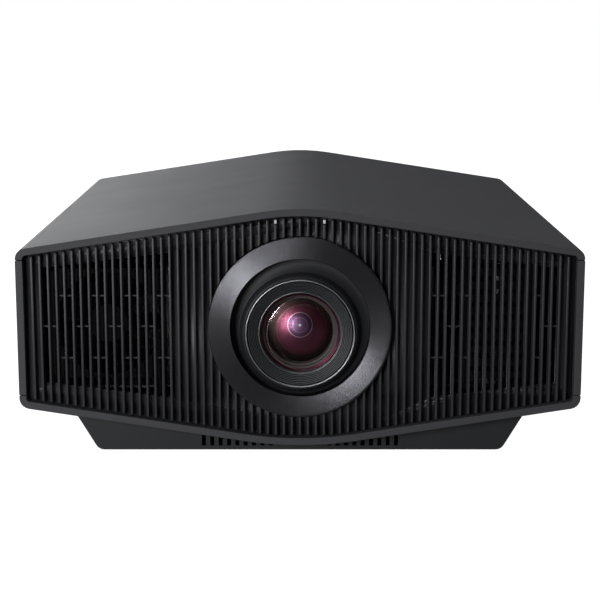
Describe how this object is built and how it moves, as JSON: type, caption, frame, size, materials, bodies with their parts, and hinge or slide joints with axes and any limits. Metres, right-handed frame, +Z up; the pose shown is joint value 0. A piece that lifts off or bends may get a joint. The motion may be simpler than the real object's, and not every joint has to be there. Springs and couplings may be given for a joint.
{
  "type": "home projector",
  "caption": "Home cinema projector with a ribbed hexagonal front, central lens in a metal ring, motorised lens shift, side socket bay, filter drawer and adjustable feet.",
  "frame": {"origin": "on the table under the middle of the casing", "axes": "+Z up, -Y is the way the lens looks, +X is the side with the sockets and keys"},
  "size_m": [0.46, 0.517, 0.2099],
  "materials": {
    "shell": "fine matte texture",
    "grille": "satin",
    "tray": "satin",
    "ring_metal": "turned and dark anodised",
    "black_plastic": "matte",
    "coated_glass": "polished, anti-reflection coated",
    "clear_plastic": "gloss",
    "alloy": "as cast",
    "steel": "brushed",
    "circuit_board": "solder mask",
    "rubber": "matte",
    "filter_foam": "pleated",
    "nylon": "satin",
    "phosphor": "matte coating"
  },
  "bodies": {
    "casing": {"top_cover": "shell", "bottom_case": "shell", "side_panel_left": "shell", "side_panel_right": "shell", "front_grille": "grille", "indicator_left": "clear_plastic", "indicator_right": "clear_plastic", "exhaust_screen": "black_plastic", "rear_panel": "shell", "ac_inlet": "black_plastic", "lens_ring": "ring_metal", "shift_frame": "alloy", "vertical_motor": "steel", "chassis_plate": "steel", "light_engine": "alloy", "laser_module": "alloy", "laser_heatsink": "alloy", "exhaust_fan_left_frame": "black_plastic", "exhaust_fan_right_frame": "black_plastic", "power_supply": "steel", "main_board": "circuit_board", "connector_panel": "black_plastic", "hdmi_socket_upper": "steel", "hdmi_socket_lower": "steel", "lan_socket": "steel", "base_tray": "tray", "rear_foot_left": "rubber", "rear_foot_right": "rubber"},
    "vertical_carriage": {"vertical_carriage": "alloy", "horizontal_motor": "steel"},
    "vertical_screw": {"vertical_screw": "steel"},
    "lens": {"horizontal_carriage": "alloy", "lens_mask": "black_plastic", "lens_barrel": "black_plastic", "baffle_ring": "black_plastic", "front_element": "coated_glass", "focus_motor": "steel", "zoom_motor": "steel"},
    "horizontal_screw": {"horizontal_screw": "steel"},
    "focus_ring": {"focus_ring": "nylon"},
    "focus_pinion": {"focus_pinion": "steel"},
    "zoom_ring": {"zoom_ring": "nylon"},
    "zoom_pinion": {"zoom_pinion": "steel"},
    "exhaust_fan_left_rotor": {"exhaust_fan_left_rotor": "black_plastic"},
    "exhaust_fan_right_rotor": {"exhaust_fan_right_rotor": "black_plastic"},
    "phosphor_wheel": {"phosphor_wheel": "phosphor"},
    "filter_drawer": {"filter_drawer": "black_plastic", "air_filter": "filter_foam"},
    "power_key": {"power_key": "rubber"},
    "input_key": {"input_key": "rubber"},
    "menu_key": {"menu_key": "rubber"},
    "up_key": {"up_key": "rubber"},
    "down_key": {"down_key": "rubber"},
    "back_key": {"back_key": "rubber"},
    "forward_key": {"forward_key": "rubber"},
    "enter_key": {"enter_key": "rubber"},
    "front_foot_left_stem": {"front_foot_left_stem": "steel"},
    "front_foot_left_knob": {"front_foot_left_knob": "rubber"},
    "front_foot_right_stem": {"front_foot_right_stem": "steel"},
    "front_foot_right_knob": {"front_foot_right_knob": "rubber"}
  },
  "joints": [
    {"name": "lens_shift_vertical", "type": "slide", "parent": "casing", "child": "vertical_carriage", "axis": [0, 0, 1], "range_m": [0, 0.0104]},
    {"name": "vertical_screw_turn", "type": "hinge", "parent": "casing", "child": "vertical_screw", "pos_m": [0.078, -0.2097, 0.11], "axis": [0, 0, 1], "range_deg": [-5, 945]},
    {"name": "lens_shift_horizontal", "type": "slide", "parent": "vertical_carriage", "child": "lens", "axis": [1, 0, 0], "range_m": [-0.0038, 0.0038]},
    {"name": "horizontal_screw_turn", "type": "hinge", "parent": "vertical_carriage", "child": "horizontal_screw", "pos_m": [0, -0.2097, 0.0345], "axis": [1, 0, 0], "range_deg": [-350, 350]},
    {"name": "focus_ring_turn", "type": "hinge", "parent": "lens", "child": "focus_ring", "pos_m": [0, -0.183, 0.1077], "axis": [0, 1, 0], "range_deg": [-45, 45]},
    {"name": "focus_pinion_turn", "type": "hinge", "parent": "lens", "child": "focus_pinion", "pos_m": [0.04849, -0.183, 0.14839], "axis": [0, 1, 0], "range_deg": [-275, 275]},
    {"name": "zoom_ring_turn", "type": "hinge", "parent": "lens", "child": "zoom_ring", "pos_m": [0, -0.16, 0.1077], "axis": [0, 1, 0], "range_deg": [0, 90]},
    {"name": "zoom_pinion_turn", "type": "hinge", "parent": "lens", "child": "zoom_pinion", "pos_m": [-0.04849, -0.16, 0.14839], "axis": [0, 1, 0], "range_deg": [-545, 5]},
    {"name": "exhaust_fan_left_spin", "type": "hinge", "parent": "casing", "child": "exhaust_fan_left_rotor", "pos_m": [-0.158, -0.2355, 0.1125], "axis": [0, 1, 0], "continuous": true},
    {"name": "exhaust_fan_right_spin", "type": "hinge", "parent": "casing", "child": "exhaust_fan_right_rotor", "pos_m": [0.158, -0.2355, 0.1125], "axis": [0, 1, 0], "continuous": true},
    {"name": "phosphor_wheel_spin", "type": "hinge", "parent": "casing", "child": "phosphor_wheel", "pos_m": [-0.104, -0.02, 0.09], "axis": [1, 0, 0], "continuous": true},
    {"name": "filter_drawer_slide", "type": "slide", "parent": "casing", "child": "filter_drawer", "axis": [-1, 0, 0], "range_m": [0, 0.085]},
    {"name": "power_key_press", "type": "slide", "parent": "casing", "child": "power_key", "axis": [-1, 0, 0], "range_m": [0, 0.0008], "stiffness_N_per_m": 600},
    {"name": "input_key_press", "type": "slide", "parent": "casing", "child": "input_key", "axis": [-1, 0, 0], "range_m": [0, 0.0008], "stiffness_N_per_m": 600},
    {"name": "menu_key_press", "type": "slide", "parent": "casing", "child": "menu_key", "axis": [-1, 0, 0], "range_m": [0, 0.0008], "stiffness_N_per_m": 600},
    {"name": "up_key_press", "type": "slide", "parent": "casing", "child": "up_key", "axis": [-1, 0, 0], "range_m": [0, 0.0008], "stiffness_N_per_m": 600},
    {"name": "down_key_press", "type": "slide", "parent": "casing", "child": "down_key", "axis": [-1, 0, 0], "range_m": [0, 0.0008], "stiffness_N_per_m": 600},
    {"name": "back_key_press", "type": "slide", "parent": "casing", "child": "back_key", "axis": [-1, 0, 0], "range_m": [0, 0.0008], "stiffness_N_per_m": 600},
    {"name": "forward_key_press", "type": "slide", "parent": "casing", "child": "forward_key", "axis": [-1, 0, 0], "range_m": [0, 0.0008], "stiffness_N_per_m": 600},
    {"name": "enter_key_press", "type": "slide", "parent": "casing", "child": "enter_key", "axis": [-1, 0, 0], "range_m": [0, 0.0008], "stiffness_N_per_m": 600},
    {"name": "front_foot_left_height", "type": "slide", "parent": "casing", "child": "front_foot_left_stem", "axis": [0, 0, -1], "range_m": [0, 0.012]},
    {"name": "front_foot_left_turn", "type": "hinge", "parent": "front_foot_left_stem", "child": "front_foot_left_knob", "pos_m": [-0.13, -0.195, 0.002], "axis": [0, 0, 1], "range_deg": [-5, 3461]},
    {"name": "front_foot_right_height", "type": "slide", "parent": "casing", "child": "front_foot_right_stem", "axis": [0, 0, -1], "range_m": [0, 0.012]},
    {"name": "front_foot_right_turn", "type": "hinge", "parent": "front_foot_right_stem", "child": "front_foot_right_knob", "pos_m": [0.13, -0.195, 0.002], "axis": [0, 0, 1], "range_deg": [-5, 3461]}
  ],
  "couplings": [
    {"joint": "vertical_screw_turn", "follows": "lens_shift_vertical", "rad_per_m": 1570.8},
    {"joint": "horizontal_screw_turn", "follows": "lens_shift_horizontal", "rad_per_m": 1570.8},
    {"joint": "focus_pinion_turn", "follows": "focus_ring_turn", "ratio": -6},
    {"joint": "zoom_pinion_turn", "follows": "zoom_ring_turn", "ratio": -6},
    {"joint": "front_foot_left_turn", "follows": "front_foot_left_height", "rad_per_m": 5026.5},
    {"joint": "front_foot_right_turn", "follows": "front_foot_right_height", "rad_per_m": 5026.5}
  ]
}
